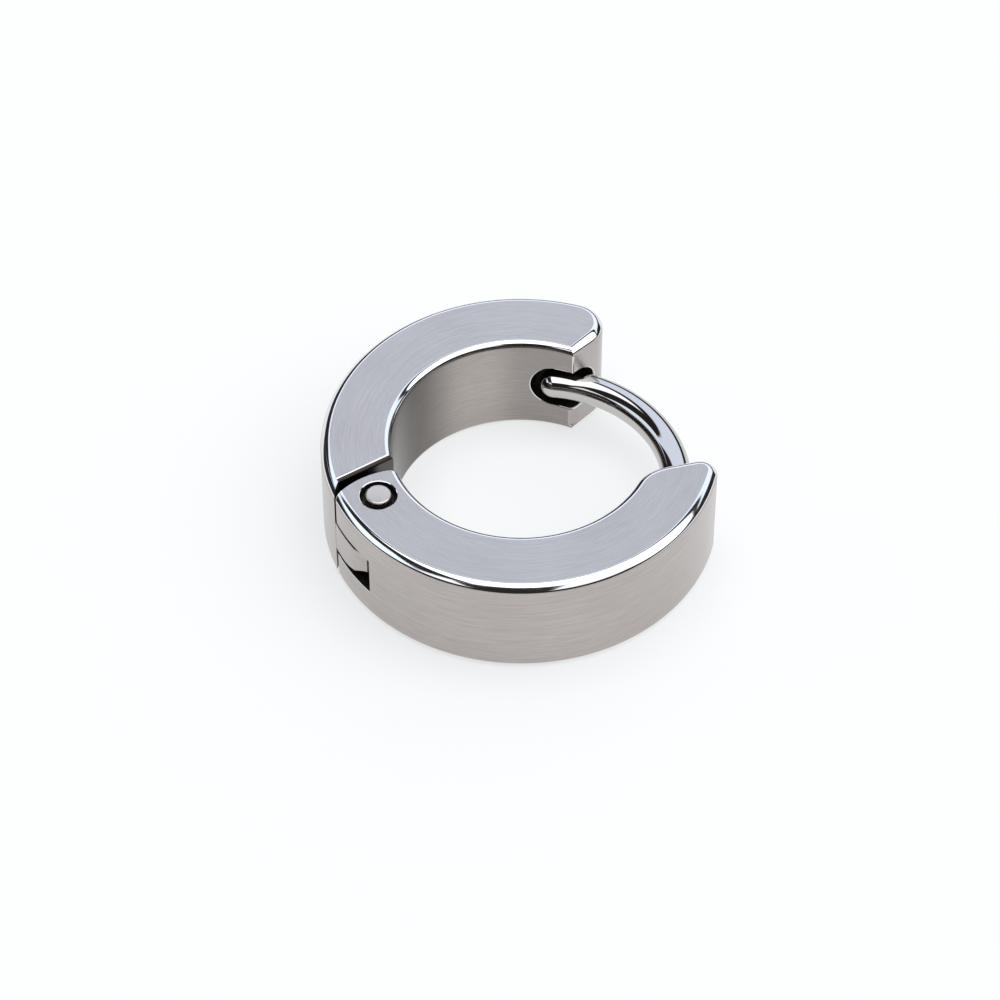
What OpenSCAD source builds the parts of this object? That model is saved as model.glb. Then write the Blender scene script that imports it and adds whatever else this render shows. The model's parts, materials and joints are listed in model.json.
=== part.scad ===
// Hinged two-half steel hoop that lies on its side, with a thin bent wire across its gap.
// Millimetres. The ring's axis is Z, and the flat resting face is at z = 0.
// Angles run anticlockwise from +X, seen from above.

/* [Band] */
// Outer diameter of the hoop
outer_d = 15.5; // [15:0.1:16]
// Inner diameter of the hoop
inner_d = 10; // [9.8:0.1:10.2]
// Width of the band, along the ring's axis
band_h = 4.6; // [4.2:0.1:5]
// Rounding of the long edges
edge_r = 0.25; // [0.1:0.05:0.35]

/* [Rear free end] */
// Angle of the sharp inner corner
rear_corner_a = 65.2; // [62:0.1:68]
// Direction of the end face
rear_face_a = 45; // [42:1:50]
// Rounding of the outer corner
rear_outer_r = 1.2; // [0.9:0.05:1.3]

/* [Front free end] */
// Angle where the end face crosses the middle of the wall
front_face_pos_a = -10.4; // [-12:0.1:-9]
// Direction of the end face
front_face_a = 13.4; // [10:0.1:18]
// Rounding of the outer corner
front_outer_r = 0.65; // [0.5:0.05:0.8]
// Rounding of the inner corner
front_inner_r = 1.86; // [1.5:0.01:2]

/* [Hinge] */
// Distance of the pin from the ring's axis
hinge_r = 6.22; // [6.2:0.01:6.26]
// Angle of the pin round the ring
hinge_a = 208.9; // [208.5:0.1:209.3]
// Pin diameter
pin_d = 1; // [0.9:0.05:1.1]
// How far the pin's top end stands above the band
pin_proud = 0.08; // [0:0.02:0.12]
// How far its bottom end lies above the resting face
pin_recess = 0.06; // [0.02:0.02:0.2]
// Rounding of the pin's ends
pin_edge_r = 0.08; // [0.05:0.01:0.15]
// Diameter of the wider mouth round each end of the pin
mouth_d = 1.42; // [1.3:0.02:1.6]
// Depth of that mouth
mouth_depth = 0.4; // [0.2:0.1:0.6]
// Height of the rear half's tongue
tongue_h = 1.56; // [1.4:0.02:1.7]
// Radius of the tongue round the pin
tongue_r = 1.75; // [1.74:0.01:1.85]
// Gap above and below the tongue
tongue_gap = 0.1; // [0.06:0.01:0.12]
// Radius of the slot's blind end round the pin
slot_r = 2.15; // [2.1:0.01:2.3]
// Radius of the flat curve that ends the front half
knuckle_r = 3.37; // [3.33:0.01:3.38]
// Centre of that curve, to the right of the pin
knuckle_x = 1.09; // [1.08:0.01:1.12]
// Centre of that curve, behind the pin (negative is in front)
knuckle_y = -1.98; // [-2.02:0.01:-1.97]
// Rounding of the front half's inner corner at the hinge
knuckle_inner_r = 0.5; // [0.3:0.05:0.6]
// How far the front half's outer corner is from the pin
knuckle_reach = 1.63; // [1.6:0.01:1.64]
// Radius of the rear half's hollow for that corner
socket_r = 1.69; // [1.69:0.01:1.72]
// Distance from the pin to the rear half's flat end
socket_flat = 1.45; // [1.45:0.01:1.5]

/* [Wire] */
// Wire diameter
wire_d = 1.2; // [1:0.05:1.3]
// Radius that the wire is bent to
bend_r = 5.34; // [5.3:0.01:5.4]
// Centre of the bend, to the right of the ring's axis
bend_x = 0.76; // [0.7:0.01:0.8]
// Centre of the bend, behind the ring's axis (negative is in front)
bend_y = -0.24; // [-0.3:0.01:-0.2]
// Angle round the bend where the wire's round tip is centred
tip_a = 83.4; // [82:0.1:85]
// Angle round the bend where the buried end stops
root_a = -22; // [-24:1:-18]
// Radius of the groove that takes the tip
groove_r = 1.05; // [0.95:0.05:1.1]
// Angle round the bend where the groove's round end is centred
groove_a = 82.4; // [81:0.1:84]
// Angle round the bend that the straight groove aims at
groove_out_a = 38; // [36:1:44]

/* [Hidden] */
$fn = 128;
outer_r = outer_d / 2;
inner_r = inner_d / 2;
wall = outer_r - inner_r;
mid_r = (outer_r + inner_r) / 2;
mid_z = band_h / 2;
pin_r = pin_d / 2;
wire_r = wire_d / 2;
// Radial gaps: the pin is tight in the fork, turns in the tongue, and the wire fills its hole
press_gap = 0.02;
turn_gap = 0.04;
// Radii well inside and outside the band, for cutting outlines
inside_r = 3.5;
outside_r = 9;
// How far a cutting shape runs past what it cuts
past = 1;
// Length of the groove's straight part, which runs out of the end face
groove_len = 4;
// Segments in each corner of an outline, and in its runs well outside the band
corner_steps = 12;
guard_steps = 4;
// How far an outline's runs outside the band stay off its corners, in degrees
guard_a = 4;
// Direction that the rear half's flat end faces away from, seen from the pin
socket_flat_a = 122.3;
// Direction from the pin, past the outer wall, where the halves' outlines leave the hinge
leave_a = 200;
// Angle round the bend that the wire's hole is cut to, past the end face
hole_out_a = 20;
shell_steel = [0.74, 0.73, 0.72];
wire_steel = [0.86, 0.87, 0.89];
pin_steel = [0.78, 0.77, 0.76];

function polar(r, a) = [r * cos(a), r * sin(a)];
function arc(centre, r, from_a, to_a) =
    [for (i = [0:corner_steps]) centre + polar(r, from_a + (to_a - from_a) * i / corner_steps)];
function guard(r, from_a, to_a) =
    [for (i = [0:guard_steps]) polar(r, from_a + (to_a - from_a) * i / guard_steps)];
// Centre of a rounding that touches a straight face and lies at dist from the ring's axis
function rounding_centre(face_a, offset, dist) =
    polar(sqrt(dist * dist - offset * offset), face_a) + polar(offset, face_a + 90);
function angle_of(p) = atan2(p[1], p[0]);
// Angle, at the ends of a triangle's side b, that lies opposite its side a
function corner_angle(a, b, c) = acos((b * b + c * c - a * a) / (2 * b * c));
// Distance of a face's line from the ring's axis, positive to the left of its direction
function face_offset(point, face_a) = point * polar(1, face_a + 90);

pin_at = polar(hinge_r, hinge_a);
bend_at = [bend_x, bend_y];

rear_corner = polar(inner_r, rear_corner_a);
rear_offset = face_offset(rear_corner, rear_face_a) + rear_outer_r;
rear_round = rounding_centre(rear_face_a, rear_offset, outer_r - rear_outer_r);

front_line = face_offset(polar(mid_r, front_face_pos_a), front_face_a);
front_outer = rounding_centre(front_face_a, front_line - front_outer_r, outer_r - front_outer_r);
front_inner = rounding_centre(front_face_a, front_line - front_inner_r, inner_r + front_inner_r);

socket_end_a = socket_flat_a + acos(socket_flat / socket_r);
rear_outline = concat(
    [rear_corner - polar(past, rear_face_a)],
    arc(rear_round, rear_outer_r, rear_face_a - 90, angle_of(rear_round)),
    guard(outside_r, angle_of(rear_round) + guard_a, leave_a),
    arc(pin_at, socket_r, leave_a, socket_end_a),
    [pin_at + polar(socket_flat, socket_flat_a) + polar(wall, socket_flat_a - 90)],
    guard(inside_r, 170, 80)
);

knuckle_off = [knuckle_x, knuckle_y];
knuckle_at = pin_at + knuckle_off;
// Where the outer corner's round about the pin meets the knuckle's curve
knuckle_tip = pin_at + polar(
    knuckle_reach,
    angle_of(knuckle_off) - corner_angle(knuckle_r, norm(knuckle_off), knuckle_reach) + 360
);
knuckle_inner = polar(
    inner_r + knuckle_inner_r,
    angle_of(knuckle_at) + 360 -
        corner_angle(knuckle_r - knuckle_inner_r, norm(knuckle_at), inner_r + knuckle_inner_r)
);
front_outline = concat(
    arc(knuckle_inner, knuckle_inner_r, angle_of(knuckle_inner) + 180, angle_of(knuckle_inner - knuckle_at)),
    arc(knuckle_at, knuckle_r, angle_of(knuckle_inner - knuckle_at), angle_of(knuckle_tip - knuckle_at)),
    arc(pin_at, knuckle_reach, angle_of(knuckle_tip - pin_at), leave_a),
    guard(outside_r, hinge_a + guard_a, 360 + angle_of(front_outer) - guard_a),
    arc(front_outer, front_outer_r, angle_of(front_outer), front_face_a + 90),
    arc(front_inner, front_inner_r, front_face_a + 90, angle_of(front_inner) + 180),
    guard(inside_r, angle_of(front_inner) - guard_a, angle_of(knuckle_inner))
);

// Flat rectangle with rounded corners, its lower left corner at the origin
module rounded_rect(w, h, r) {
    translate([r, 0]) square([w - 2 * r, h]);
    translate([0, r]) square([w, h - 2 * r]);
    for (x = [r, w - r], y = [r, h - r])
        translate([x, y]) circle(r);
}

// Round post with rounded rims
module rounded_post(r, h, rim_r) {
    rotate_extrude() {
        square([r - rim_r, h]);
        translate([0, rim_r]) square([r, h - 2 * rim_r]);
        for (y = [rim_r, h - rim_r])
            translate([r - rim_r, y]) circle(rim_r);
    }
}

// Whole hoop, before it is cut into halves
module band() {
    rotate_extrude()
        translate([inner_r, 0]) rounded_rect(wall, band_h, edge_r);
}

module cut_band(outline) {
    intersection() {
        band();
        translate([0, 0, -past]) linear_extrude(band_h + 2 * past) polygon(outline);
    }
}

// Upright cylinder on the hinge's axis, centred on the band's height
module on_hinge(r, h) {
    translate([pin_at[0], pin_at[1], mid_z]) cylinder(r = r, h = h, center = true);
}

// Round bar along the wire's bend, from one angle to another
module bent_bar(r, from_a, to_a) {
    translate([bend_at[0], bend_at[1], mid_z]) rotate([0, 0, from_a])
        rotate_extrude(angle = to_a - from_a) translate([bend_r, 0]) circle(r);
}

// Round end of a bent bar, its poles in line with the bar
module bar_end(r, at_a) {
    end_at = bend_at + polar(bend_r, at_a);
    translate([end_at[0], end_at[1], mid_z]) rotate([90, 0, at_a]) sphere(r);
}

// Flat blade round the pin, as thick as the band's walls allow
module tongue() {
    intersection() {
        band();
        on_hinge(tongue_r, tongue_h);
    }
}

// Straight ball-ended cut along the wire, out through the rear half's free end
module groove() {
    start = bend_at + polar(bend_r, groove_a);
    direction = (groove_a + groove_out_a) / 2 - 90;
    translate([start[0], start[1], mid_z]) rotate([90, 0, direction + 90])
        rotate_extrude() {
            square([groove_r, groove_len]);
            intersection() {
                circle(groove_r);
                translate([0, -groove_r]) square([groove_r, 2 * groove_r]);
            }
        }
}

// Back band with its tongue, the pin's running bore and the groove for the wire's tip
module rear_half() {
    color(shell_steel) difference() {
        union() {
            cut_band(rear_outline);
            tongue();
        }
        on_hinge(pin_r + turn_gap, band_h);
        groove();
    }
}

// Front band with its fork, the pin's bore and the hole for the wire's buried end
module front_half() {
    color(shell_steel) difference() {
        cut_band(front_outline);
        on_hinge(slot_r, tongue_h + 2 * tongue_gap);
        on_hinge(pin_r + press_gap, band_h + 2 * past);
        for (z = [0, band_h])
            translate([pin_at[0], pin_at[1], z])
                cylinder(d = mouth_d, h = 2 * mouth_depth, center = true);
        bent_bar(wire_r + press_gap, root_a - 1, hole_out_a);
    }
}

module hinge_pin() {
    color(pin_steel)
        translate([pin_at[0], pin_at[1], pin_recess])
            rounded_post(pin_r, band_h + pin_proud - pin_recess, pin_edge_r);
}

// Bent wire: buried at the front end, free and round at its tip
module bridge_wire() {
    color(wire_steel) {
        bent_bar(wire_r, root_a, tip_a);
        bar_end(wire_r, tip_a);
    }
}

rear_half();
front_half();
hinge_pin();
bridge_wire();
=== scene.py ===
"""Finished pieces of a hinged two-half steel hoop with a bent wire across its gap."""

import json
from math import atan2, ceil, cos, pi, radians, sin, sqrt

import bmesh
import bpy
from bpy.props import FloatProperty, FloatVectorProperty, PointerProperty
from mathutils import Matrix, Vector


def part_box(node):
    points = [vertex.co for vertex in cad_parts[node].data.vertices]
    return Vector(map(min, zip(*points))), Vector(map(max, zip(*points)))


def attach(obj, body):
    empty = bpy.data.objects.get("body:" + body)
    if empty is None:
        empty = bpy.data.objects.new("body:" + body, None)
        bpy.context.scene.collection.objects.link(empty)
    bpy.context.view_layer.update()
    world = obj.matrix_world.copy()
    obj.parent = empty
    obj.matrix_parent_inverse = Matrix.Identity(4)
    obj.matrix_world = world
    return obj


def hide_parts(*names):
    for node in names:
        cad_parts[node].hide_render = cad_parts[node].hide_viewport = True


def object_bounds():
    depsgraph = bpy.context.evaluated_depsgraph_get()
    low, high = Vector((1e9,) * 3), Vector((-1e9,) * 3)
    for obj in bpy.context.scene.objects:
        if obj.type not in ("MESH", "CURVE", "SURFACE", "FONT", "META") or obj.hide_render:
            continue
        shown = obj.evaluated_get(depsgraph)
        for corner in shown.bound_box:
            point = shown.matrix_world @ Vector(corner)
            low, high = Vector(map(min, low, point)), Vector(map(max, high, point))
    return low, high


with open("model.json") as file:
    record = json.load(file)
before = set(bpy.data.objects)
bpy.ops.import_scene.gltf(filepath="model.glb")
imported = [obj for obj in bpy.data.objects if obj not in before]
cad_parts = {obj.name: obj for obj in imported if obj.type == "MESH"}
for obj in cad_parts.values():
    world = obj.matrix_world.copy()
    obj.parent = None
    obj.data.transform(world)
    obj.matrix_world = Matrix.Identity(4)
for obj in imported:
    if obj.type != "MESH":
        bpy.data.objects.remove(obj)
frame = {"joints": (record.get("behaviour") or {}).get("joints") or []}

bl_info = {
    "name": "Hinged wire ring",
    "version": (1, 0, 0),
    "blender": (4, 5, 0),
    "location": "3D View > Sidebar > Ring",
    "description": "Builds the finished pieces of a hinged steel hoop with a bridging wire",
    "category": "Object",
}

# Shapes are drawn in millimetres and scaled to metres when a piece is finished
MM = 0.001
TURN = 2 * pi
QUARTER = pi / 2
UP = Vector((0, 0, 1))
ORIGIN = Vector((0, 0, 0))

# The box of the ring as the frame gives it, and where the hinge's axis stands
CAD_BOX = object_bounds()
HINGE = next(joint for joint in frame["joints"] if joint["name"] == "ring_hinge")
BAND_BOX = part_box("rear_half")
PIN_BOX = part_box("hinge_pin")
WIRE_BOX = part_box("bridge_wire")

# Material slots of a band; the bored slot paints near-black shade, and the inner slot is a shaded copy of
# the satin
SATIN, POLISHED, DARK_SHADE, SHADED_SATIN, FRESH = range(5)

# Longest straight step of a round stretch, in millimetres, and its largest turn
STEP = 0.195
STEP_TURN = radians(7)
# Points of a piece closer than this are one, in millimetres
WELD = 0.001
# Steeper edges than this stay creased in the shading
CREASE = radians(17)
# A face is part of a wall when its normal rises less than this
WALL_RISE = 0.5
# Cutting tools reach this far past the band, in millimetres
PAST = 1
# Sides of upright round bars, and of the bent wire
BAR_SIDES = 96
WIRE_SIDES = 64

# Light tent: its wall, its dark gaps, and its panels on a level plane one unit above the ring.
# Each panel has its span to the right, its span to the back and its colour; later ones lie on top.
FAR = 99
TENT_WALL = (0.505, 0.56, 0.655, 1)
TENT_DARK = (0.012, 0.011, 0.011, 1)
TENT = (
    ((-FAR, -1.4), (-FAR, 0.65), (0.55, 0.62, 0.7, 1)),  # wall on the left
    ((-2.5, -0.5), (0.97, FAR), TENT_DARK),  # gap at the back left
    ((-1.4, FAR), (-0.97, 0.62), TENT_DARK),  # dark frame of the panel overhead
    ((-0.5, FAR), (-0.97, 0.38), (0.92, 0.96, 1.0, 1)),  # panel overhead
    ((-FAR, FAR), (-FAR, -0.97), (0.6, 0.61, 0.63, 1)),  # wall in front
    ((-0.75, 0.45), (-2.36, -0.97), TENT_DARK),  # gap in that wall
)


def length(name, description, millimetres):
    """A size that the user may change, given in millimetres and kept in metres."""
    return FloatProperty(
        name=name, description=description, default=millimetres * MM, unit="LENGTH", precision=6
    )


def number(name, description, value):
    """A plain number that the user may change."""
    return FloatProperty(name=name, description=description, default=value)


def angle(name, description, degrees):
    """An angle that the user may change, given in degrees."""
    return FloatProperty(name=name, description=description, default=radians(degrees), subtype="ANGLE")


def colour(name, description, rgb):
    """A colour that the user may change."""
    return FloatVectorProperty(
        name=name, description=description, default=rgb, subtype="COLOR", size=3, min=0, max=1
    )


class RING_PG_band(bpy.types.PropertyGroup):
    """Sizes of the flat band and of its free ends."""

    outer_r: length("Outer radius", "Radius of the band's outer wall", CAD_BOX[1].y / MM)
    inner_r: length("Inner radius", "Radius of the band's inner wall", 5)
    height: length("Height", "Width of the band, along the ring's axis", BAND_BOX[1].z / MM)
    edge: length("Long edges", "Width of the polished bevel of the long edges", 0.25)
    inner_edge: length("Inner edges", "Width of the bevel of the inner edges, on the flat faces", 0.15)
    inner_edge_drop: length("Inner edge drop", "Width of that bevel, on the inner wall", 0.19)
    edge_top_r: length("Bevel, face side", "Rounding between a bevel and the flat faces", 0.11)
    edge_side_r: length("Bevel, wall side", "Rounding between a bevel and the walls", 0.1)
    end_foot_r: length("Free end foot", "Rounding of the rear half's inner corner below its groove", 0.42)
    rear_corner_a: angle("Rear corner", "Where the rear half's sharp inner corner is", 65.2)
    rear_face_a: angle("Rear end face", "Direction of the rear half's end face", 45)
    rear_outer_r: length("Rear outer corner", "Rounding of the rear half's outer corner", 1.2)
    front_face_at: angle("Front end", "Where the front half's end face crosses the wall", -10.4)
    front_face_a: angle("Front end face", "Direction of the front half's end face", 13.4)
    front_outer_r: length("Front outer corner", "Rounding of the front half's outer corner", 0.65)
    front_inner_r: length("Front inner corner", "Rounding of the front half's inner corner", 1.86)


class RING_PG_hinge(bpy.types.PropertyGroup):
    """Sizes of the hinge between the halves."""

    pin_r: length("Pin radius", "Radius of the pin", (PIN_BOX[1].x - PIN_BOX[0].x) / 2 / MM)
    pin_edge_r: length("Pin rim", "Rounding of the pin's ends", 0.08)
    bore_gap: length("Bore gap", "Gap round the pin in the fork", 0.02)
    turn_gap: length("Turning gap", "Gap round the pin in the tongue", 0.04)
    mouth_r: length("Mouth radius", "Radius of the wider mouth round each pin end", 0.71)
    mouth_depth: length("Mouth depth", "Depth of that mouth", 0.4)
    tongue_h: length("Tongue height", "Height of the rear half's tongue", 1.46)
    tongue_r: length("Tongue radius", "Radius of the tongue round the pin", 1.75)
    tongue_edge_r: length("Tongue edges", "Rounding of the tongue's edges", 0.02)
    tongue_tip_r: length("Tongue tip", "Rounding of the lower corner of the tongue's tip", 0.5)
    slot_gap: length("Slot gap", "Gap above and below the tongue", 0.15)
    slot_r: length("Slot radius", "Radius of the slot's blind end round the pin", 2.15)
    knuckle_r: length("Knuckle radius", "Radius of the flat curve that ends the front half", 3.37)
    knuckle_x: length("Knuckle centre X", "Centre of that curve, to the right of the pin", 1.09)
    knuckle_y: length("Knuckle centre Y", "Centre of that curve, behind the pin", -1.98)
    knuckle_inner_r: length("Knuckle inner corner", "Rounding of its corner at the inner wall", 0.5)
    knuckle_reach: length("Knuckle reach", "Distance from the pin to its corner at the outer wall", 1.63)
    socket_r: length("Hollow radius", "Radius of the rear half's hollow for that corner", 1.69)
    socket_flat: length("Hollow flat", "Distance from the pin to the rear half's flat end", 1.45)
    socket_flat_a: angle("Hollow direction", "Direction of that flat end from the pin", 122.3)
    end_bevel: length("End bevel", "Straight part of the bevel along the rear half's flat end", 0.04)
    rim_r: length("Rims", "Rounding of the rims of round holes", 0.035)
    slot_rim_r: length("Slot rims", "Rounding of the rims of the slot and of the knuckle", 0.03)


class RING_PG_wire(bpy.types.PropertyGroup):
    """Sizes of the bridging wire and of the groove for its tip."""

    radius: length("Wire radius", "Radius of the wire", (WIRE_BOX[1].z - WIRE_BOX[0].z) / 2 / MM)
    bend_r: length("Bend radius", "Radius that the wire is bent to", 5.34)
    bend_x: length("Bend centre X", "Centre of the bend, to the right of the ring's axis", 0.76)
    bend_y: length("Bend centre Y", "Centre of the bend, behind the ring's axis", -0.24)
    tip_a: angle("Tip", "Where the round tip is centred, round the bend", 83.4)
    root_a: angle("Root", "Where the buried end stops, round the bend", -22)
    hole_gap: length("Hole gap", "Gap round the buried end", 0.02)
    groove_r: length("Groove radius", "Radius of the groove that takes the tip", 1.05)
    groove_a: angle("Groove end", "Where the groove's round end is centred, round the bend", 82.4)
    groove_out_a: angle("Groove aim", "Point round the bend that the groove aims at", 38)
    groove_rim_r: length("Groove rim", "Rounding of the groove's polished rim", 0.05)


class RING_PG_finish(bpy.types.PropertyGroup):
    """Colours of the steel, by how it is finished; the inner and bored tones are made darker as painted
    shade.
    """

    satin: colour("Satin steel", "Steel brushed along the band", (0.46, 0.425, 0.405))
    # Darker than the satin: painted shade of the inner walls
    inner: colour("Inner walls", "Duller brushed steel of the inner walls", (0.42, 0.385, 0.36))
    polished: colour("Polished steel", "Buffed edges", (0.78, 0.77, 0.77))
    # Almost black: painted shade inside holes, slots and gaps
    bore_shade: colour("Bored steel", "Dull steel inside holes and slots", (0.06, 0.05, 0.043))
    pin: colour("Pin", "Turned end of the pin", (0.57, 0.52, 0.475))
    wire: colour("Wire", "Mirror-polished wire", (0.56, 0.54, 0.53))


class RING_PG_stage(bpy.types.PropertyGroup):
    """Camera, floor and light."""

    elevation: angle("Camera height", "Angle of the camera above the floor", 48.356)
    distance: length("Camera distance", "Distance from the camera to the ring", 155)
    focal: number("Focal length", "Focal length in picture widths", 3.9676)
    centre_x: number("Picture X", "Ring's centre across the picture", 0.52055)
    centre_y: number("Picture Y", "Ring's centre down the picture", 0.47694)
    floor: colour("Floor", "Pale floor", (0.3, 0.3, 0.3))
    floor_glow: number("Floor glow", "Light from under the pale floor", 0.6)
    floor_size: length("Floor size", "Width of the floor", 4000)
    tent_light: number("Tent light", "Strength of the light tent", 2.2)


def polar(r, a, centre=ORIGIN):
    """Point at a distance and in a direction from a centre in plan."""
    return centre + Vector((r * cos(a), r * sin(a), 0))


def bearing(point, centre=ORIGIN):
    """Direction of a point, seen from a centre in plan."""
    return atan2(point.y - centre.y, point.x - centre.x)


def pin_centre():
    """Where the hinge's axis crosses the floor, in millimetres."""
    return Vector((HINGE["pos_m"][0], HINGE["pos_m"][1], 0)) / MM


def meeting(centre, r, other_r, side, other=ORIGIN):
    """Direction, from a centre, in which its circle of radius r meets another circle."""
    reach = (centre - other).length
    bend = (other_r ** 2 - reach ** 2 - r ** 2) / (2 * reach * r)
    return bearing(centre, other) + side * atan2(sqrt(1 - bend ** 2), bend)


def face_offset(point, direction):
    """Distance of a straight end face from the ring's axis, positive on the left of its direction."""
    return point.dot(polar(1, direction + QUARTER))


def rounding_centre(direction, offset, reach):
    """Centre of a rounding that touches a straight face, at a given reach from the ring's axis."""
    return polar(sqrt(reach ** 2 - offset ** 2), direction) + polar(offset, direction + QUARTER)


class Outline:
    """Plan outline of straight and round stretches, which is then raised to a solid slab."""

    def __init__(self, start):
        self.bm = bmesh.new()
        self.tip = bmesh.ops.create_vert(self.bm, co=start)["vert"][0]

    def line_to(self, point):
        """Go straight to a point."""
        self.tip = bmesh.ops.extrude_vert_indiv(self.bm, verts=[self.tip])["verts"][0]
        self.tip.co = point

    def arc_to(self, end, centre=ORIGIN, clockwise=False):
        """Go round a centre until the direction end is reached."""
        turn = (end - bearing(self.tip.co, centre)) % TURN - (TURN if clockwise else 0)
        reach = (self.tip.co - centre).length
        steps = max(ceil(abs(turn) * reach / STEP), ceil(abs(turn) / STEP_TURN))
        made = bmesh.ops.spin(
            self.bm, geom=[self.tip], cent=centre, axis=UP, angle=turn, steps=steps, dvec=ORIGIN
        )
        self.tip = next(part for part in made["geom_last"] if isinstance(part, bmesh.types.BMVert))

    def slab(self, bottom, top):
        """Close the outline and raise it from one height to another."""
        bmesh.ops.remove_doubles(self.bm, verts=self.bm.verts, dist=WELD)
        bmesh.ops.contextual_create(self.bm, geom=self.bm.edges[:])
        bmesh.ops.translate(self.bm, verts=self.bm.verts, vec=(0, 0, bottom))
        raised = bmesh.ops.extrude_face_region(self.bm, geom=self.bm.faces[:])["geom"]
        lid = [part for part in raised if isinstance(part, bmesh.types.BMVert)]
        bmesh.ops.translate(self.bm, verts=lid, vec=(0, 0, top - bottom))
        bmesh.ops.recalc_face_normals(self.bm, faces=self.bm.faces)
        return self.bm


def level(edge, height):
    """Whether an edge lies level at a height."""
    return all(abs(corner.co.z - height) < WELD for corner in edge.verts)


def upright(edge, point=None):
    """Whether an edge stands upright, above or below a point where one is given."""
    a, b = (corner.co for corner in edge.verts)
    there = point is None or (a.xy - point.xy).length < WELD
    return there and (a.xy - b.xy).length < WELD and abs(a.z - b.z) > WELD


def sharp(edge, limit=radians(30)):
    """Whether the two faces of an edge meet at more than an angle."""
    return len(edge.link_faces) == 2 and edge.calc_face_angle() > limit


def round_off(bm, edges, radius, segments, finish=POLISHED):
    """Round edges off, and give the new faces a finish."""
    made = bmesh.ops.bevel(
        bm, geom=edges, offset=radius, offset_type="OFFSET", segments=segments, profile=0.5,
        affect="EDGES", clamp_overlap=False, loop_slide=True, material=-1,
    )
    for face in made["faces"]:
        face.material_index = finish
    return made["faces"]


def finish_long_edges(bm, band, spare_a):
    """Bevel the long edges flat, then round both sides of the bevel.

    The inner edges are bevelled less and steeper. The spare end, at one bearing, is left as it is.
    """
    height, width, inner = band.height / MM, band.edge / MM, band.inner_r / MM
    # The lower part of the rounding at a wall is brushed with the wall
    brushed_rise = 0.45

    def rims():
        return [
            edge for edge in bm.edges
            if sharp(edge) and any(abs(sin(bearing(end.co) - spare_a)) > WELD for end in edge.verts)
        ]

    def face_rims():
        return [edge for edge in rims() if level(edge, 0) or level(edge, height)]

    round_off(bm, face_rims(), width, segments=1)
    for corner in bm.verts:
        r, z = corner.co.xy.length, corner.co.z
        on_face = min(z, height - z) < WELD
        beyond = r - inner - (width if on_face else 0)
        share = max(0, 1 - beyond / (2 * width))
        if on_face:
            corner.co.xy *= 1 - share * (width - band.inner_edge / MM) / r
        else:
            corner.co.z += share * (width - band.inner_edge_drop / MM) * (1 if z > height / 2 else -1)
    round_off(bm, face_rims(), band.edge_top_r / MM, segments=5)
    lower = [
        edge for edge in rims()
        if {face.material_index for face in edge.link_faces} == {SATIN, POLISHED}
    ]
    for face in round_off(bm, lower, band.edge_side_r / MM, segments=5):
        if abs(face.normal.z) < brushed_rise:
            face.material_index = SATIN
    # Inner walls take a darker copy of the satin, which paints their shade
    for face in bm.faces:
        wall = abs(face.normal.z) < WALL_RISE and face.material_index == SATIN
        if wall and face.calc_center_median().xy.length < inner + STEP / 4:
            face.material_index = SHADED_SATIN


def plug(radius, bottom, top, centre=ORIGIN):
    """Upright round bar, for adding or cutting away."""
    bm = bmesh.new()
    bmesh.ops.create_cone(
        bm, cap_ends=True, segments=BAR_SIDES, radius1=radius, radius2=radius, depth=top - bottom,
        matrix=Matrix.Translation(centre + UP * (bottom + top) / 2),
    )
    return bm


def combine(solid, tool, operation):
    """Join two closed meshes, or cut one out of the other; every face keeps its finish."""
    pair = []
    for bm in (solid, tool):
        mesh = bpy.data.meshes.new("work")
        bm.to_mesh(mesh)
        bm.free()
        # One empty slot for each finish
        for _ in range(FRESH + 1):
            mesh.materials.append(None)
        pair.append(bpy.data.objects.new("work", mesh))
        bpy.context.scene.collection.objects.link(pair[-1])
    cut = pair[0].modifiers.new("cut", "BOOLEAN")
    cut.object, cut.operation, cut.solver, cut.material_mode = pair[1], operation, "EXACT", "INDEX"
    result = bmesh.new()
    result.from_object(pair[0], bpy.context.evaluated_depsgraph_get())
    for work in pair:
        bpy.data.meshes.remove(work.data)
    bmesh.ops.remove_doubles(result, verts=result.verts, dist=WELD)
    return result


def cut_out(solid, tool, rim_r=0, corner=None, rim_angle=radians(15)):
    """Cut a tool out of a solid and buff the rim that it leaves, with the corner that the rim crosses."""
    for face in tool.faces:
        if face.material_index == SATIN:
            face.material_index = FRESH
    solid = combine(solid, tool, "DIFFERENCE")
    rim = []
    for edge in solid.edges:
        fresh = sum(face.material_index == FRESH for face in edge.link_faces)
        old = sum(face.material_index in (SATIN, POLISHED, SHADED_SATIN) for face in edge.link_faces)
        if (fresh == 1 and old == 1 and sharp(edge, rim_angle)) or (corner and upright(edge, corner)):
            rim.append(edge)
    if rim_r:
        round_off(solid, rim, rim_r, segments=2)
    # Freshly cut faces take the near-black tone, which paints the shade inside the cut
    for face in solid.faces:
        if face.material_index == FRESH:
            face.material_index = DARK_SHADE
    return solid


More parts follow.
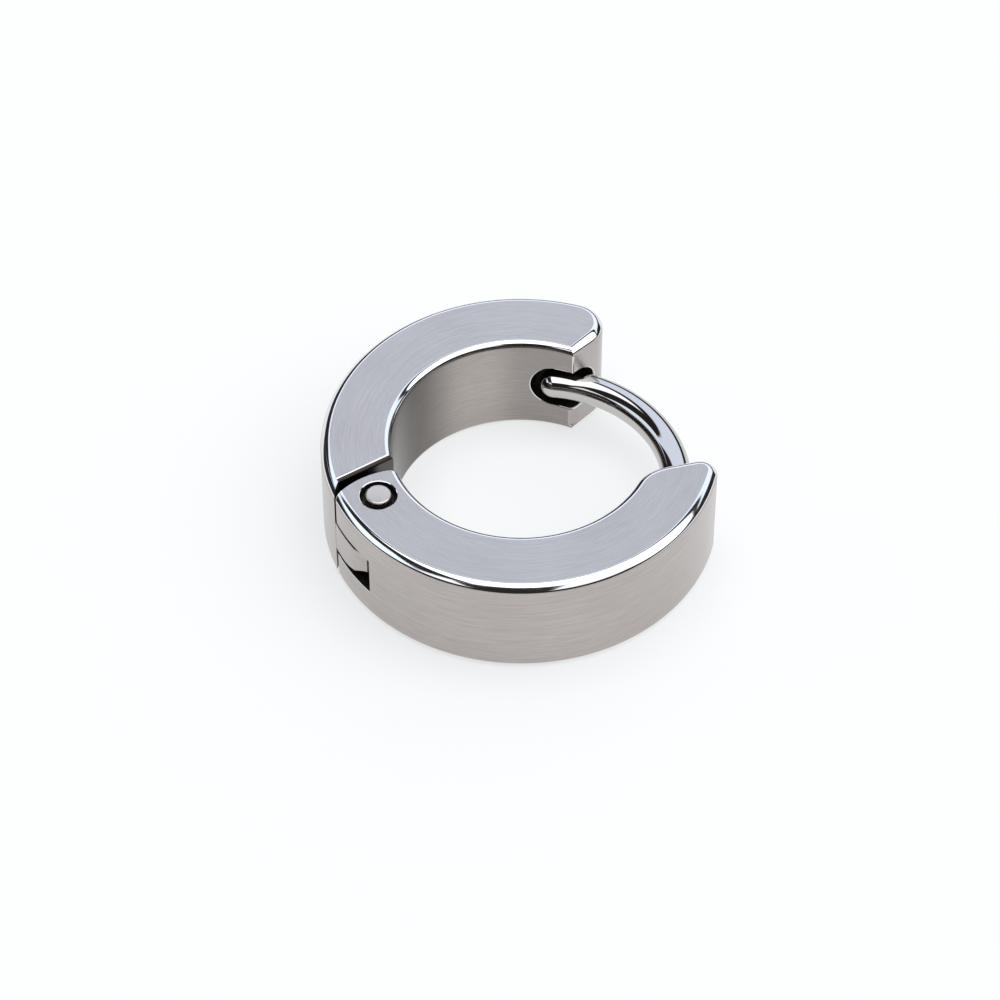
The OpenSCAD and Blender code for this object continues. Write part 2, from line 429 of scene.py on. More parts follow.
def bent_rod(wire, radius, start, end, height):
    """Round rod along the wire's bend with a domed end, from one angle round the bend to another."""
    bm = bmesh.new()
    centre = Vector((wire.bend_r / MM, 0, 0))
    pole = bmesh.ops.create_vert(bm, co=centre + Vector((0, radius, 0)))["vert"]
    bmesh.ops.spin(
        bm, geom=pole, cent=centre, axis=(1, 0, 0), angle=QUARTER, steps=WIRE_SIDES // 4, dvec=ORIGIN
    )
    bmesh.ops.spin(
        bm, geom=bm.verts[:] + bm.edges[:], cent=centre, axis=(0, 1, 0), angle=TURN, steps=WIRE_SIDES,
        dvec=ORIGIN, use_merge=True,
    )
    bmesh.ops.remove_doubles(bm, verts=bm.verts, dist=WELD)
    rim = [edge for edge in bm.edges if edge.is_boundary]
    steps = ceil((end - start) * wire.bend_r / MM / (STEP / 2))
    bmesh.ops.spin(bm, geom=rim, cent=ORIGIN, axis=UP, angle=start - end, steps=steps, dvec=ORIGIN)
    bmesh.ops.remove_doubles(bm, verts=bm.verts, dist=WELD)
    bmesh.ops.contextual_create(bm, geom=[edge for edge in bm.edges if edge.is_boundary])
    bmesh.ops.recalc_face_normals(bm, faces=bm.faces)
    place = Matrix.Translation((wire.bend_x / MM, wire.bend_y / MM, height)) @ Matrix.Rotation(end, 4, "Z")
    bmesh.ops.transform(bm, matrix=place, verts=bm.verts)
    return bm


def groove_tool(wire, height, reach=4, ball_steps=14, sides=72):
    """Straight round bar with one ball end, laid along the wire's free end."""
    bm = bmesh.new()
    r = wire.groove_r / MM
    pole = bmesh.ops.create_vert(bm, co=(0, 0, -r))["vert"][0]
    made = bmesh.ops.spin(
        bm, geom=[pole], cent=ORIGIN, axis=(0, 1, 0), angle=-QUARTER, steps=ball_steps, dvec=ORIGIN
    )
    shoulder = next(part for part in made["geom_last"] if isinstance(part, bmesh.types.BMVert))
    bmesh.ops.extrude_vert_indiv(bm, verts=[shoulder])["verts"][0].co.z = reach
    bmesh.ops.spin(
        bm, geom=bm.verts[:] + bm.edges[:], cent=ORIGIN, axis=UP, angle=TURN, steps=sides,
        dvec=ORIGIN, use_merge=True,
    )
    bmesh.ops.remove_doubles(bm, verts=bm.verts, dist=WELD)
    bmesh.ops.contextual_create(bm, geom=[edge for edge in bm.edges if edge.is_boundary])
    bmesh.ops.recalc_face_normals(bm, faces=bm.faces)
    bend = Vector((wire.bend_x / MM, wire.bend_y / MM, height))
    direction = (wire.groove_a + wire.groove_out_a) / 2 - QUARTER
    place = Matrix.Translation(polar(wire.bend_r / MM, wire.groove_a, bend))
    place = place @ Matrix.Rotation(direction, 4, "Z") @ Matrix.Rotation(QUARTER, 4, "Y")
    bmesh.ops.transform(bm, matrix=place, verts=bm.verts)
    return bm


def rear_band(band, hinge, wire, spare_a=radians(206)):
    """Back half: band with a hollow end and tongue at the hinge and a grooved free end."""
    outer, inner, height = band.outer_r / MM, band.inner_r / MM, band.height / MM
    pin, middle = pin_centre(), height / 2
    corner = polar(inner, band.rear_corner_a)
    end_r = band.rear_outer_r / MM
    offset = face_offset(corner, band.rear_face_a) + end_r
    end_centre = rounding_centre(band.rear_face_a, offset, outer - end_r)

    plan = Outline(corner)
    plan.line_to(polar(end_r, band.rear_face_a - QUARTER, end_centre))
    plan.arc_to(bearing(end_centre), end_centre)
    plan.arc_to(spare_a)
    plan.line_to(polar(inner, spare_a))
    plan.arc_to(band.rear_corner_a, clockwise=True)
    half = plan.slab(0, height)
    finish_long_edges(half, band, spare_a)
    half = cut_out(half, rear_end_tool(hinge, middle))
    hinge_corners = [
        edge for edge in half.edges
        if upright(edge) and sharp(edge) and edge.calc_length() > middle and not upright(edge, corner)
        and abs(edge.verts[0].co.xy.length - inner) < STEP / 10
    ]
    round_off(half, hinge_corners, hinge.rim_r / MM, segments=3)
    half = soften_foot(half, corner, middle, band.end_foot_r / MM)
    half = combine(half, tongue(band, hinge), "UNION")
    half = combine(half, plug((hinge.pin_r + hinge.turn_gap) / MM, 0, height, pin), "DIFFERENCE")
    return cut_out(half, groove_tool(wire, middle), wire.groove_rim_r / MM, corner)


def rear_end_tool(hinge, middle):
    """Cut that ends the rear half: a flat with bevelled rims, and the hollow for the knuckle's corner."""
    pin, flat_at, flat_way = pin_centre(), hinge.socket_flat / MM, hinge.socket_flat_a
    corner_r, rim_r, slope = 0.16, 0.2, radians(10)
    # The flat runs from just outside the hollow through the inner wall, measured from the pin
    flat_from, flat_to, depth = -0.93, 3, 3
    # Faces whose normal rises more than the first are buffed, than the second painted near black as shade,
    # the rest brushed in the shaded inner tone
    buffed_rise, shade_rise = 0.88, 0.5
    # The hollow stops just short of the flat, so that the two don't share a plane
    short = 0.02
    # Profile across the flat, from its lower rim to its upper one: new heading, rounding, straight run
    half_diagonal = QUARTER / 2
    headings = (pi - slope, pi - half_diagonal, QUARTER, half_diagonal, slope)
    inward = polar(rim_r, headings[1] + QUARTER) - polar(rim_r, headings[0] + QUARTER)
    inward += polar(hinge.end_bevel / MM, headings[1])
    inward += polar(corner_r, pi) - polar(corner_r, headings[1] + QUARTER)
    start = Vector((-inward.x, WELD - middle, 0))
    upright_run = -2 * (start.y + inward.y)
    plan = Outline(start - polar(PAST, headings[0]))
    plan.line_to(start)
    rounding = (rim_r, corner_r, corner_r, rim_r)
    runs = (hinge.end_bevel / MM, upright_run, hinge.end_bevel / MM, PAST)
    for old, new, r, run in zip(headings, headings[1:], rounding, runs):
        plan.arc_to(new + QUARTER, plan.tip.co - polar(r, old + QUARTER), clockwise=True)
        plan.line_to(plan.tip.co + polar(run, new))
    plan.line_to((-depth, plan.tip.co.y, 0))
    plan.line_to((-depth, -plan.tip.co.y, 0))
    prism = plan.slab(flat_from, flat_to)
    for face in prism.faces:
        rise = abs(face.normal.y)
        face.material_index = POLISHED if rise > buffed_rise else DARK_SHADE if rise > shade_rise else SHADED_SATIN
    away = polar(1, flat_way)
    stand = Matrix((away, UP, away.cross(UP))).transposed().to_4x4()
    place = Matrix.Translation(pin + away * flat_at + UP * middle) @ stand
    bmesh.ops.transform(prism, matrix=place, verts=prism.verts)
    hollow = plug(hinge.socket_r / MM, -PAST, 2 * middle + PAST, pin)
    bmesh.ops.bisect_plane(
        hollow, geom=hollow.verts[:] + hollow.edges[:] + hollow.faces[:], clear_outer=True,
        plane_co=pin + away * (flat_at - short), plane_no=away,
    )
    bmesh.ops.contextual_create(hollow, geom=[edge for edge in hollow.edges if edge.is_boundary])
    bmesh.ops.recalc_face_normals(hollow, faces=hollow.faces)
    return combine(prism, hollow, "UNION")


def soften_foot(half, corner, middle, radius):
    """Round an upright corner off below the middle; the rounding fades out at the long edge."""
    bmesh.ops.bisect_plane(
        half, geom=half.verts[:] + half.edges[:] + half.faces[:], plane_co=(0, 0, middle), plane_no=UP
    )
    foot = [
        edge for edge in half.edges
        if upright(edge, corner) and max(end.co.z for end in edge.verts) < middle + WELD
    ]
    round_off(half, foot, radius, segments=8, finish=SATIN)
    return half


def tongue(band, hinge, inset=0.004, start=radians(185), ease=radians(7), shown=radians(11)):
    """Flat tongue that reaches round the pin, a hair inside the band's walls.

    Its edge is brushed as far round the pin as it can be seen; beyond that, and on its top and bottom, it
    takes the near-black tone that paints the slot's shade.
    """
    outer, inner = band.outer_r / MM - inset, band.inner_r / MM + inset
    pin, r, middle = pin_centre(), hinge.tongue_r / MM, band.height / 2 / MM
    leaves = meeting(pin, r, outer, 1)
    plan = Outline(polar(outer, start))
    plan.arc_to(bearing(polar(r, leaves, pin)) - ease * r / outer)
    plan.line_to(polar(r, leaves + ease, pin))
    plan.arc_to(meeting(pin, r, inner, 1), pin)
    plan.arc_to(start, clockwise=True)
    blade = plan.slab(middle - hinge.tongue_h / 2 / MM, middle + hinge.tongue_h / 2 / MM)
    # The round tip gets thinner from below
    onward, thin = polar(1, bearing(pin) + QUARTER), hinge.tongue_tip_r / MM
    for corner in blade.verts:
        flat = Vector((corner.co.x, corner.co.y, 0)) - pin
        past = min(thin, flat.length - r + thin)
        if corner.co.z < middle and past > 0 and flat.dot(onward) > 0:
            ease_in = min(1, flat.dot(onward) / thin)
            corner.co.z += ease_in * (thin - sqrt(thin ** 2 - past ** 2))
    # Top, bottom and the edge inside the slot take the near-black tone, which paints the slot's shade
    for face in blade.faces:
        deep = (bearing(face.calc_center_median(), pin) - leaves) % TURN
        if abs(face.normal.z) > WALL_RISE or shown < deep < pi:
            face.material_index = DARK_SHADE
    rims = [edge for edge in blade.edges if sharp(edge)]
    round_off(blade, rims, hinge.tongue_edge_r / MM, segments=2, finish=SATIN)
    return blade


def knuckle_tool(hinge, inner, bottom, top, ease=radians(16)):
    """Slab that ends the front half in a flat curve, with a round corner at its inner wall."""
    pin = pin_centre()
    r, corner_r, reach = hinge.knuckle_r / MM, hinge.knuckle_inner_r / MM, hinge.knuckle_reach / MM
    centre = pin + Vector((hinge.knuckle_x, hinge.knuckle_y, 0)) / MM
    corner_way = meeting(centre, r - corner_r, inner + corner_r, -1)
    corner = polar(r - corner_r, corner_way, centre)
    inside, outside = inner - 1, inner + 4
    # Directions of the first point from the pin, and of the cut's two far corners from the ring's axis
    first_a, near_a, far_a = radians(200), radians(185), radians(200)
    plan = Outline(polar(reach, first_a, pin))
    plan.arc_to(meeting(pin, reach, r, 1, centre), pin, clockwise=True)
    plan.arc_to(corner_way, centre, clockwise=True)
    leaves = bearing(corner) + pi + ease
    plan.arc_to(leaves, corner, clockwise=True)
    # The last stretch runs straight through the inner wall, so that the cut is nowhere tangent to it
    plan.line_to(plan.tip.co + polar(corner_r, leaves - QUARTER))
    # The rest goes round what is cut away, clear of the band's walls
    for distance, way in ((inside, near_a), (outside, near_a), (outside, far_a)):
        plan.line_to(polar(distance, way))
    return plan.slab(bottom, top)


def front_band(band, hinge, wire, spare_a=radians(192)):
    """Front half: band with a slotted knuckle at the hinge and a rounded free end."""
    outer, inner, height = band.outer_r / MM, band.inner_r / MM, band.height / MM
    pin, middle = pin_centre(), height / 2
    face_a = band.front_face_a
    face = face_offset(polar((outer + inner) / 2, band.front_face_at), face_a)
    outer_r, inner_r = band.front_outer_r / MM, band.front_inner_r / MM
    outer_end = rounding_centre(face_a, face - outer_r, outer - outer_r)
    inner_end = rounding_centre(face_a, face - inner_r, inner + inner_r)

    plan = Outline(polar(outer, spare_a))
    plan.arc_to(bearing(outer_end))
    plan.arc_to(face_a + QUARTER, outer_end)
    plan.line_to(polar(inner_r, face_a + QUARTER, inner_end))
    plan.arc_to(bearing(inner_end) + pi, inner_end)
    plan.arc_to(spare_a, clockwise=True)
    half = plan.slab(0, height)
    finish_long_edges(half, band, spare_a)

    # The knuckle and its slot are cut as one, so that their rims are buffed together
    slot_half = hinge.tongue_h / 2 / MM + hinge.slot_gap / MM
    slot = plug(hinge.slot_r / MM, middle - slot_half, middle + slot_half, pin)
    tool = combine(knuckle_tool(hinge, inner, -PAST, height + PAST), slot, "UNION")
    half = cut_out(half, tool, hinge.slot_rim_r / MM)
    rim_r = hinge.rim_r / MM
    depth = hinge.mouth_depth / MM
    for bottom in (-depth, height - depth):
        half = cut_out(half, plug(hinge.mouth_r / MM, bottom, bottom + 2 * depth, pin), rim_r)
    half = combine(half, bore(hinge, -PAST, height + PAST, pin), "DIFFERENCE")
    hole_r = (wire.radius + wire.hole_gap) / MM
    # The wire's hole ends a little deeper than the wire, and opens out of the end face
    hole_from, hole_to = wire.root_a - radians(1), radians(20)
    return cut_out(half, bent_rod(wire, hole_r, hole_from, hole_to, middle), rim_r)


def bore(hinge, bottom, top, pin):
    """Bar that bores the fork for the pin, and leaves near-black walls as painted shade in the bore."""
    tool = plug((hinge.pin_r + hinge.bore_gap) / MM, bottom, top, pin)
    for face in tool.faces:
        face.material_index = DARK_SHADE
    return tool


def round_pin(hinge):
    """Pin with rounded rims; it has one material, in its first slot."""
    low, high = PIN_BOX[0].z / MM, PIN_BOX[1].z / MM
    bm = plug(hinge.pin_r / MM, low, high, pin_centre())
    rims = [edge for edge in bm.edges if level(edge, low) or level(edge, high)]
    round_off(bm, rims, hinge.pin_edge_r / MM, segments=6, finish=0)
    return bm


def add(tree, kind, inputs=None, **settings):
    """Add a node with its settings; an input is set to a value or fed by a socket."""
    made = tree.nodes.new(kind)
    for name, value in settings.items():
        setattr(made, name, value)
    for key, value in (inputs or {}).items():
        if isinstance(value, bpy.types.NodeSocket):
            tree.links.new(value, made.inputs[key])
        else:
            made.inputs[key].default_value = value
    return made


def calc(tree, operation, a, b=0.0):
    """Work out a number from two others."""
    return add(tree, "ShaderNodeMath", {0: a, 1: b}, operation=operation).outputs[0]


def vector(tree, operation, a, b=(0, 0, 0)):
    """Work out a vector, or its length, from two others."""
    made = add(tree, "ShaderNodeVectorMath", {0: a, 1: b}, operation=operation)
    return made.outputs["Value" if operation in ("LENGTH", "DOT_PRODUCT") else "Vector"]


def scaled(tree, a, factor):
    """Make a vector or a colour a number of times as large."""
    return add(tree, "ShaderNodeVectorMath", {0: a, "Scale": factor}, operation="SCALE").outputs["Vector"]


def spread(tree, value, low, high, to_low=0.0, to_high=1.0, kind="LINEAR"):
    """Spread the stretch from low to high over another range."""
    inputs = {"Value": value, "From Min": low, "From Max": high, "To Min": to_low, "To Max": to_high}
    return add(tree, "ShaderNodeMapRange", inputs, interpolation_type=kind).outputs["Result"]


def contrast(tree, pattern, to_low=0.0, to_high=1.0, low=0.3, high=0.7):
    """Spread the middle of a noise pattern, where most of it lies, over another range."""
    return spread(tree, pattern, low, high, to_low, to_high)


def within(tree, value, low, high, soft=0.04):
    """One between two limits, zero outside them, with soft borders."""
    above = spread(tree, value, low - soft, low + soft, kind="SMOOTHSTEP")
    below = spread(tree, value, high + soft, high - soft, kind="SMOOTHSTEP")
    return calc(tree, "MULTIPLY", above, below)


def weighed(tree, a, b, share):
    """Add two patterns up, of which the second has a share of the whole."""
    return calc(tree, "ADD", calc(tree, "MULTIPLY", a, 1 - share), calc(tree, "MULTIPLY", b, share))


def blended(tree, factor, a, b):
    """Mix two colours."""
    inputs = {0: factor, 6: a, 7: b}
    return add(tree, "ShaderNodeMix", inputs, data_type="RGBA", blend_type="MIX").outputs[2]


def rgba(rgb, factor=1.0):
    """Colour with its alpha, made lighter or darker by a factor."""
    return (*(min(1, part * factor) for part in rgb), 1)


def varied(tree, pattern, tint, vary):
    """Colour that a pattern makes darker or lighter, by a share of itself."""
    return blended(tree, pattern, rgba(tint, 1 - vary), rgba(tint, 1 + vary))


def add_bump(tree, shader, height, strength, distance):
    """Raise a pattern on the surface, by a distance in metres."""
    bump = add(tree, "ShaderNodeBump", {"Strength": strength, "Distance": distance, "Height": height})
    tree.links.new(bump.outputs["Normal"], shader.inputs["Normal"])


def new_material(name):
    """Material with a metal shader, and where its patterns are measured from."""
    made = bpy.data.materials.new(name)
    made.use_nodes = True
    tree = made.node_tree
    shader = tree.nodes["Principled BSDF"]
    shader.inputs["Metallic"].default_value = 1
    place = add(tree, "ShaderNodeTexCoord").outputs["Object"]
    return made, tree, shader, place


def noise(tree, place, scale, detail=2, roughness=0.5):
    """Cloudy pattern; the scale is in patches to the metre."""
    inputs = {"Vector": place, "Scale": scale, "Detail": detail, "Roughness": roughness}
    return add(tree, "ShaderNodeTexNoise", inputs).outputs["Fac"]


def brush_marks(tree, place, mark_length, mark_width, detail=2, mean_r=0.0065):
    """Fine marks that run round the ring's axis, as long and wide as given, in metres."""
    flat = vector(tree, "MULTIPLY", place, (1, 1, 0))
    r = vector(tree, "LENGTH", flat)
    # Angle as a point on a circle, so that the marks have no seam
    along = scaled(tree, vector(tree, "NORMALIZE", flat), mean_r / mark_length)
    upward = scaled(tree, vector(tree, "MULTIPLY", place, (0, 0, 1)), 1 / mark_width)
    inputs = {
        "Vector": vector(tree, "ADD", along, upward),
        "W": calc(tree, "DIVIDE", r, mark_width),
        "Scale": 1, "Detail": detail, "Roughness": 0.55,
    }
    return add(tree, "ShaderNodeTexNoise", inputs, noise_dimensions="4D").outputs["Fac"]


def brush_direction(tree, place, ring_share=0.15):
    """Direction of the brushing: level along walls, and round the ring where a face lies flat."""
    normal = add(tree, "ShaderNodeNewGeometry").outputs["Normal"]
    ring_way = vector(tree, "CROSS_PRODUCT", UP, vector(tree, "NORMALIZE", place))
    world_way = add(
        tree, "ShaderNodeVectorTransform", {"Vector": ring_way},
        vector_type="VECTOR", convert_from="OBJECT", convert_to="WORLD",
    ).outputs["Vector"]
    wall_way = vector(tree, "CROSS_PRODUCT", UP, normal)
    return vector(tree, "NORMALIZE", vector(tree, "ADD", wall_way, scaled(tree, world_way, ring_share)))


def inner_shade(tree, place):
    """Painted shade on the inner walls along X: darkest by the hinge, and a little darker by the free end.
    """
    # Places along X in metres; the darkest painted shade by the hinge and the shade by the free end are
    # shares of the full tone
    darkest_x, unshaded_x, darkest_share = -0.0044, -0.002, 0.28
    end_from, end_to, end_soft, end_shade = -0.0006, 0.0033, 0.0009, 0.24
    x = add(tree, "ShaderNodeSeparateXYZ", {0: place}).outputs[0]
    shade_by_hinge = spread(tree, x, darkest_x, unshaded_x, darkest_share, 1, kind="SMOOTHSTEP")
    shade_by_end = calc(tree, "MULTIPLY", within(tree, x, end_from, end_to, end_soft), -end_shade)
    return calc(tree, "MULTIPLY", shade_by_hinge, calc(tree, "ADD", shade_by_end, 1))


def satin_steel(name, tint, shaded_inside=False):
    """Steel brushed along the band, with very fine faint marks and a little cloudiness."""
    made, tree, shader, place = new_material(name)
    coarse = brush_marks(tree, place, mark_length=0.0014, mark_width=0.00006)
    fine = brush_marks(tree, place, mark_length=0.0007, mark_width=0.00003, detail=3)
    marks = weighed(tree, coarse, fine, share=0.5)
    cloud = noise(tree, place, scale=350, detail=3)
    tone = weighed(tree, marks, cloud, share=0.2)
    mix = varied(tree, contrast(tree, tone), tint, vary=0.14)
    # Darkens the inner walls' tone along X as painted shade
    if shaded_inside:
        mix = scaled(tree, mix, inner_shade(tree, place))
    tree.links.new(mix, shader.inputs["Base Color"])
    tree.links.new(contrast(tree, marks, 0.19, 0.28), shader.inputs["Roughness"])
    shader.inputs["Anisotropic"].default_value = 0.4
    tree.links.new(brush_direction(tree, place), shader.inputs["Tangent"])
    add_bump(tree, shader, marks, strength=0.2, distance=0.000004)
    return made


def polished_steel(name, tint, smooth=0.05, worn=0.14):
    """Buffed steel, almost a mirror, with hairline scratches and a few duller patches."""
    made, tree, shader, place = new_material(name)
    # Where wear starts and is full in each pattern, and the most that the two make together
    starts, full, most = 0.35, 0.75, 0.6
    patches = noise(tree, place, scale=900, detail=3)
    hairs = brush_marks(tree, place, mark_length=0.0012, mark_width=0.00003)
    wear = calc(tree, "MULTIPLY", spread(tree, patches, starts, full), spread(tree, hairs, starts, full))
    tree.links.new(spread(tree, wear, 0, most, smooth, worn), shader.inputs["Roughness"])
    mix = blended(tree, patches, rgba(tint, 0.96), rgba(tint, 1.03))
    tree.links.new(mix, shader.inputs["Base Color"])
    return made


def bore_shade_steel(name, tint):
    """Unpolished steel inside holes and slots, coloured almost black as painted shade."""
    made, tree, shader, place = new_material(name)
    grain = noise(tree, place, scale=9000, detail=3, roughness=0.6)
    tone = weighed(tree, grain, noise(tree, place, scale=900), share=0.5)
    tree.links.new(varied(tree, contrast(tree, tone), tint, vary=0.4), shader.inputs["Base Color"])
    tree.links.new(contrast(tree, grain, 0.4, 0.6), shader.inputs["Roughness"])
    add_bump(tree, shader, grain, strength=0.3, distance=0.00001)
    return made


def pin_steel(colours, ring_width=0.00003):
    """Turned pin: fine rings round its own axis, with speckled wear."""
    made, tree, shader, place = new_material("pin_steel")
    centred = vector(tree, "SUBTRACT", place, pin_centre() * MM)
    r = vector(tree, "LENGTH", vector(tree, "MULTIPLY", centred, (1, 1, 0)))
    rings = add(
        tree, "ShaderNodeTexNoise", {"W": calc(tree, "DIVIDE", r, ring_width), "Scale": 1},
        noise_dimensions="1D",
    ).outputs["Fac"]
    tone = weighed(tree, rings, noise(tree, place, scale=6000, detail=3, roughness=0.6), share=0.7)
    mix = varied(tree, contrast(tree, tone), colours.pin, vary=0.05)
    tree.links.new(mix, shader.inputs["Base Color"])
    tree.links.new(contrast(tree, tone, 0.22, 0.42), shader.inputs["Roughness"])
    add_bump(tree, shader, tone, strength=0.12, distance=0.000006)
    return made


def band_steels(colours):
    """Materials of a band, in the order of its slots; both halves share them."""
    names = ("satin_steel", "polished_steel", "bore_shade_steel", "shaded_inner_steel")
    if not bpy.data.materials.get(names[0]):
        satin_steel(names[0], colours.satin)
        polished_steel(names[1], colours.polished)
        bore_shade_steel(names[2], colours.bore_shade)
        satin_steel(names[3], colours.inner, shaded_inside=True)
    return [bpy.data.materials[name] for name in names]


def finish_piece(bm, name, node, body, materials):
    """Turn a mesh into a finished piece that stands for a node of the frame."""
    bmesh.ops.recalc_face_normals(bm, faces=bm.faces)
    if any(not edge.is_manifold for edge in bm.edges):
        raise RuntimeError(f"{name}: the mesh is not closed")
    for face in bm.faces:
        face.smooth = True
    for edge in bm.edges:
        edge.smooth = not sharp(edge, CREASE)
    bmesh.ops.scale(bm, vec=(MM, MM, MM), verts=bm.verts)
    mesh = bpy.data.meshes.new(name)
    bm.to_mesh(mesh)
    bm.free()
    for material in materials:
        mesh.materials.append(material)
    piece = bpy.data.objects.new(name, mesh)
    bpy.context.scene.collection.objects.link(piece)
    weigh = piece.modifiers.new("weigh_normals", "WEIGHTED_NORMAL")
    weigh.keep_sharp = True
    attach(piece, body)
    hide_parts(node)


class RING_OT_rear_band(bpy.types.Operator):
    """Build the rear half of the band"""

    bl_idname = "ring.rear_band"
    bl_label = "Rear band"

    def execute(self, context):
        scene = context.scene
        bm = rear_band(scene.ring_band, scene.ring_hinge, scene.ring_wire)
        finish_piece(bm, "rear_band", "rear_half", "rear", band_steels(scene.ring_finish))
        return {"FINISHED"}


class RING_OT_front_band(bpy.types.Operator):
    """Build the front half of the band"""

    bl_idname = "ring.front_band"
    bl_label = "Front band"

    def execute(self, context):
        scene = context.scene
        bm = front_band(scene.ring_band, scene.ring_hinge, scene.ring_wire)
        finish_piece(bm, "front_band", "front_half", "front", band_steels(scene.ring_finish))
        return {"FINISHED"}


class RING_OT_pin(bpy.types.Operator):
    """Build the hinge's pin"""

    bl_idname = "ring.pin"
    bl_label = "Hinge pin"

    def execute(self, context):
        scene = context.scene
        bm = round_pin(scene.ring_hinge)
        finish_piece(bm, "round_pin", "hinge_pin", "front", [pin_steel(scene.ring_finish)])
        return {"FINISHED"}


class RING_OT_wire(bpy.types.Operator):
    """Build the bent wire that bridges the gap"""

    bl_idname = "ring.wire"
    bl_label = "Bridging wire"

    def execute(self, context):
        scene = context.scene
        wire = scene.ring_wire
        bm = bent_rod(wire, wire.radius / MM, wire.root_a, wire.tip_a, scene.ring_band.height / 2 / MM)
        steel = polished_steel("wire_steel", scene.ring_finish.wire, smooth=0.03, worn=0.09)
        finish_piece(bm, "bent_wire", "bridge_wire", "front", [steel])
        return {"FINISHED"}


def light_tent(scene):
    """Pale panels round the ring, with dark gaps between them and dark surroundings above the floor."""
    least_rise, low_soft = 0.02, 0.03
    # How high the dark surroundings reach at the sides and in front, and where one turns into the other
    side_rim, front_rim, side_y, front_y = sin(radians(17)), sin(radians(28)), -0.2, -0.5
    world = bpy.data.worlds.new("light_tent")
    world.use_nodes = True
    scene.world = world
    tree = world.node_tree
    way = add(tree, "ShaderNodeTexCoord").outputs["Generated"]
    parts = add(tree, "ShaderNodeSeparateXYZ", {0: way}).outputs
    rise = calc(tree, "MAXIMUM", parts[2], least_rise)
    right = calc(tree, "DIVIDE", parts[0], rise)
    back = calc(tree, "DIVIDE", parts[1], rise)
    light = TENT_WALL
    for (left_end, right_end), (front_end, back_end), tone in TENT:
        here = within(tree, right, left_end, right_end)
        here = calc(tree, "MULTIPLY", here, within(tree, back, front_end, back_end))
        light = blended(tree, here, light, tone)
    rim = spread(tree, parts[1], side_y, front_y, side_rim, front_rim)
    over = calc(tree, "SUBTRACT", parts[2], rim)
    low = spread(tree, over, low_soft, -low_soft, kind="SMOOTHSTEP")
    light = blended(tree, low, light, TENT_DARK)
    background = tree.nodes["Background"]
    tree.links.new(light, background.inputs["Color"])
    background.inputs["Strength"].default_value = scene.ring_stage.tent_light


def soft_box(place, aim, width, depth, power):
    """Large soft lamp over the ring."""
    lamp = bpy.data.lights.new("soft_box", "AREA")
    lamp.shape, lamp.size, lamp.size_y, lamp.energy = "RECTANGLE", width, depth, power
    holder = bpy.data.objects.new("soft_box", lamp)
    holder.visible_glossy = False
    bpy.context.scene.collection.objects.link(holder)
    holder.location = place
    holder.rotation_euler = (aim - holder.location).to_track_quat("-Z", "Y").to_euler()


def floor_sheet(settings):
    """Plain pale floor."""
    made, tree, shader, place = new_material("pale_floor")
    shader.inputs["Metallic"].default_value = 0
    shader.inputs["Specular IOR Level"].default_value = 0.1
    shader.inputs["Roughness"].default_value = 0.9
    paper = noise(tree, place, scale=600, detail=4, roughness=0.6)
    tree.links.new(varied(tree, paper, settings.floor, vary=0.01), shader.inputs["Base Color"])
    shader.inputs["Emission Color"].default_value = (1, 1, 1, 1)
    shader.inputs["Emission Strength"].default_value = settings.floor_glow
    bm = bmesh.new()
    bmesh.ops.create_grid(bm, x_segments=1, y_segments=1, size=settings.floor_size / 2)
    mesh = bpy.data.meshes.new("floor")
    bm.to_mesh(mesh)
    bm.free()
    mesh.materials.append(made)
    floor = bpy.data.objects.new("floor", mesh)
    bpy.context.scene.collection.objects.link(floor)


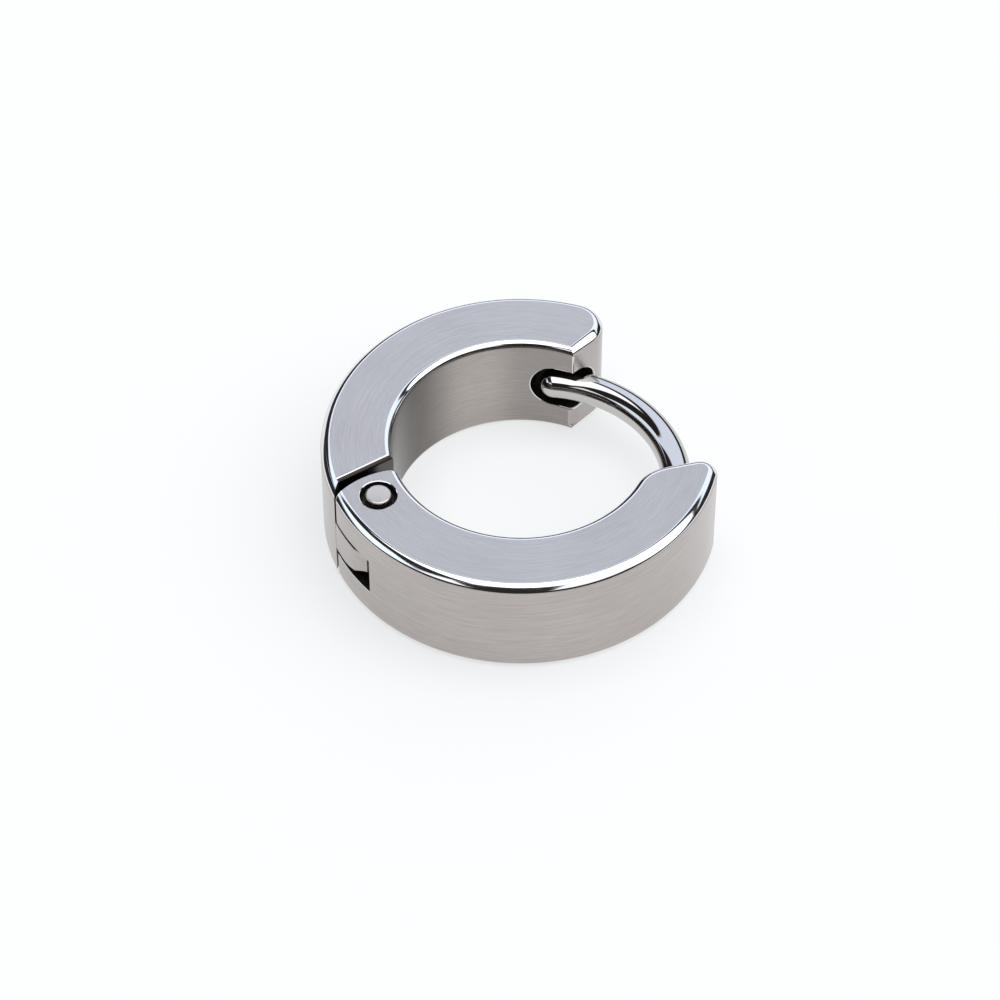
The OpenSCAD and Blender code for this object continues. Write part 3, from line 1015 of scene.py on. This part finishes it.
def set_camera(settings, height):
    """Camera at the picture's angle, with the ring's centre where the picture has it."""
    scene = bpy.context.scene
    data = bpy.data.cameras.new("camera")
    data.lens = data.sensor_width * settings.focal
    data.clip_start, data.clip_end = 0.01, 20
    tilt = settings.elevation
    back = Vector((0, -cos(tilt), sin(tilt)))
    up = Vector((0, sin(tilt), cos(tilt)))
    per_picture = settings.distance / settings.focal
    aside = (0.5 - settings.centre_x) * per_picture
    below = (0.5 - settings.centre_y) * per_picture
    camera = bpy.data.objects.new("camera", data)
    scene.collection.objects.link(camera)
    camera.location = Vector((aside, 0, height / 2)) + back * settings.distance - up * below
    camera.rotation_euler = (QUARTER - tilt, 0, 0)
    scene.camera = camera


class RING_OT_stage(bpy.types.Operator):
    """Set up the floor, the light and the camera"""

    bl_idname = "ring.stage"
    bl_label = "Stage"

    def execute(self, context):
        scene = context.scene
        set_camera(scene.ring_stage, scene.ring_band.height)
        floor_sheet(scene.ring_stage)
        light_tent(scene)
        soft_box(place=(0, 0.06, 0.4), aim=ORIGIN, width=0.36, depth=0.3, power=0.4)
        scene.view_settings.view_transform = "Standard"
        return {"FINISHED"}


class RING_PT_panel(bpy.types.Panel):
    """Buttons that build the ring, with its sizes"""

    bl_label = "Hinged wire ring"
    bl_space_type = "VIEW_3D"
    bl_region_type = "UI"
    bl_category = "Ring"

    def draw(self, context):
        for operator in OPERATORS:
            self.layout.operator(operator.bl_idname)
        for group in GROUPS:
            box = self.layout.box()
            for name in getattr(context.scene, group).bl_rna.properties.keys():
                if name not in ("rna_type", "name"):
                    box.prop(getattr(context.scene, group), name)


GROUPS = {
    "ring_band": RING_PG_band,
    "ring_hinge": RING_PG_hinge,
    "ring_wire": RING_PG_wire,
    "ring_finish": RING_PG_finish,
    "ring_stage": RING_PG_stage,
}
OPERATORS = (RING_OT_rear_band, RING_OT_front_band, RING_OT_pin, RING_OT_wire, RING_OT_stage)


def register():
    for made in (*GROUPS.values(), *OPERATORS, RING_PT_panel):
        bpy.utils.register_class(made)
    for name, group in GROUPS.items():
        setattr(bpy.types.Scene, name, PointerProperty(type=group))


def unregister():
    for name in GROUPS:
        delattr(bpy.types.Scene, name)
    for made in reversed((*GROUPS.values(), *OPERATORS, RING_PT_panel)):
        bpy.utils.unregister_class(made)


def main():
    register()
    bpy.ops.ring.rear_band()
    bpy.ops.ring.front_band()
    bpy.ops.ring.pin()
    bpy.ops.ring.wire()
    bpy.ops.ring.stage()


if __name__ == "__main__":
    main()
